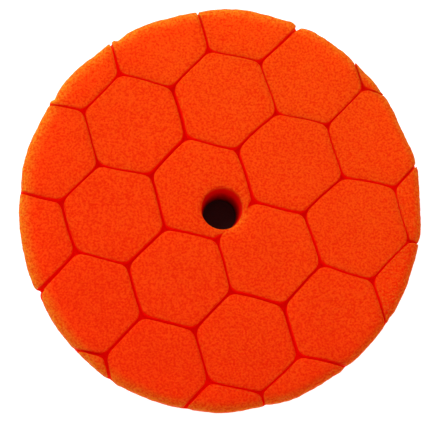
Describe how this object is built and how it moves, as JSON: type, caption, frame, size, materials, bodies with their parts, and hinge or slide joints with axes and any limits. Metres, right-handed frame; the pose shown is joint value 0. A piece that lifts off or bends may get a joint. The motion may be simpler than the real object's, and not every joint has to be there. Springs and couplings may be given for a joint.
{
  "type": "polishing pad",
  "caption": "Round open-cell foam polishing pad with a hexagonally grooved working face, a blind centre hole, a side that tapers to the back and a black loop-fastener backing.",
  "frame": {"origin": "centre of the loop face that the pad lies on, on the spin axis", "axes": "+Z along the spin axis from the loop face towards the working face; +X and +Y across the face, with the nearest tile's centre on the -X, +Y side of the hole"},
  "size_m": [0.15, 0.15, 0.0287],
  "materials": {
    "foam": "open-cell polyurethane foam, cut, fine-pored and dull",
    "adhesive": "thin black hot-melt film, satin",
    "ground_knit": "black warp-knitted nylon ground cloth",
    "loop_yarn": "black nylon loop pile"
  },
  "bodies": {
    "root": {"foam_pad": "foam", "hot_melt_film": "adhesive", "backing_cloth": "ground_knit", "loop_pile": "loop_yarn"}
  },
  "joints": []
}
